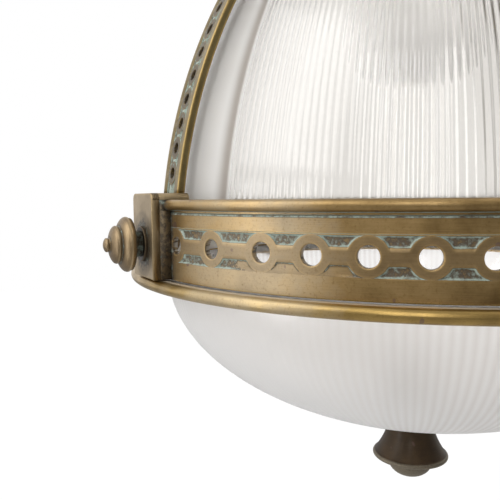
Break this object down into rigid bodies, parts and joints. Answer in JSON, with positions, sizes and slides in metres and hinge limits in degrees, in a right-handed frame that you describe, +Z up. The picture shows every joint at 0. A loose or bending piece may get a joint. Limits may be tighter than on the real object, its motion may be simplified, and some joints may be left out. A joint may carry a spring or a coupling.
{
  "type": "pendant light",
  "caption": "Domed pendant light: pierced brass gallery between strap arms, ribbed glass dome above, hinged glass bowl with drop finial below.",
  "frame": {"origin": "centre of the hanging eye's hole", "axes": "+Z up, the straps and knobs along X, the bowl ring's hinge at +Y and its catch at -Y"},
  "size_m": [0.399, 0.3694, 0.4596],
  "materials": {
    "cast_brass": "cast, antiqued and rubbed back on the edges, verdigris in the recesses",
    "spun_brass": "spun sheet, antiqued brown",
    "turned_brass": "turned and drawn, dull polish",
    "dome_glass": "pressed clear glass with fine upright prisms",
    "bowl_glass": "pressed glass, frosted, with fine prisms inside",
    "felt": "pressed felt",
    "porcelain": "glazed porcelain",
    "steel": "dull plated",
    "opal_bulb": "opal bulb glass",
    "bulb_base": "black glass insulator with a solder tip"
  },
  "bodies": {
    "frame": {"gallery_band": "cast_brass", "dome_ledge": "spun_brass", "dome_gasket": "felt", "dome_glass": "dome_glass", "crown_gasket": "felt", "crown_cap": "spun_brass", "crown_boss": "spun_brass", "crown_locknut": "turned_brass", "hanger_tube": "turned_brass", "hanging_eye": "cast_brass", "eye_grub_screw": "steel", "left_strap": "cast_brass", "right_strap": "cast_brass", "strap_screws": "turned_brass", "strap_nuts": "turned_brass", "left_ear": "cast_brass", "right_ear": "cast_brass", "left_stud": "turned_brass", "right_stud": "turned_brass", "stud_nuts": "turned_brass", "holder_cap": "spun_brass", "holder_shell": "spun_brass", "holder_insert": "porcelain", "holder_thread": "turned_brass", "holder_contact": "turned_brass", "holder_ring": "porcelain", "terminal_screws": "steel", "band_hinge_leaf": "turned_brass", "band_leaf_screws": "turned_brass", "hinge_pin": "turned_brass"},
    "bowl_frame": {"bowl_ring": "cast_brass", "bowl_gasket": "felt", "bowl_glass": "bowl_glass", "bowl_clips": "turned_brass", "catch_spring": "turned_brass", "clip_screws": "steel", "ring_hinge_leaf": "turned_brass", "ring_leaf_screws": "turned_brass", "finial_stud": "turned_brass", "finial_stud_nut": "turned_brass", "finial_plate": "spun_brass", "finial_gasket": "felt"},
    "finial_cup": {"finial_washer": "turned_brass"},
    "finial_drop": {"finial": "cast_brass"},
    "left_cup": {"left_knob_washer": "turned_brass"},
    "left_thumb": {"left_knob": "cast_brass"},
    "right_cup": {"right_knob_washer": "turned_brass"},
    "right_thumb": {"right_knob": "cast_brass"},
    "bulb": {"bulb_globe": "opal_bulb", "bulb_cap": "steel", "bulb_tip": "bulb_base", "bulb_filament": "steel"}
  },
  "joints": [
    {"name": "bowl_swing", "type": "hinge", "parent": "frame", "child": "bowl_frame", "pos_m": [0, 0.186, -0.30439], "axis": [1, 0, 0], "range_deg": [0, 95]},
    {"name": "finial_travel", "type": "slide", "parent": "bowl_frame", "child": "finial_cup", "axis": [0, 0, -1], "range_m": [0, 0.0075]},
    {"name": "finial_turn", "type": "hinge", "parent": "finial_cup", "child": "finial_drop", "pos_m": [0, 0, -0.41349], "axis": [0, 0, -1], "range_deg": [0, 2165]},
    {"name": "left_knob_travel", "type": "slide", "parent": "frame", "child": "left_cup", "axis": [-1, 0, 0], "range_m": [0, 0.004]},
    {"name": "left_knob_turn", "type": "hinge", "parent": "left_cup", "child": "left_thumb", "pos_m": [-0.1791, 0, -0.28349], "axis": [-1, 0, 0], "range_deg": [0, 1445]},
    {"name": "right_knob_travel", "type": "slide", "parent": "frame", "child": "right_cup", "axis": [1, 0, 0], "range_m": [0, 0.004]},
    {"name": "right_knob_turn", "type": "hinge", "parent": "right_cup", "child": "right_thumb", "pos_m": [0.1791, 0, -0.28349], "axis": [1, 0, 0], "range_deg": [0, 1445]},
    {"name": "bulb_draw", "type": "slide", "parent": "frame", "child": "bulb", "axis": [0, 0, -1], "range_m": [0, 0.04]}
  ],
  "couplings": [
    {"joint": "finial_turn", "follows": "finial_travel", "rad_per_m": 5026.5},
    {"joint": "left_knob_turn", "follows": "left_knob_travel", "rad_per_m": 6283.2},
    {"joint": "right_knob_turn", "follows": "right_knob_travel", "rad_per_m": 6283.2}
  ]
}
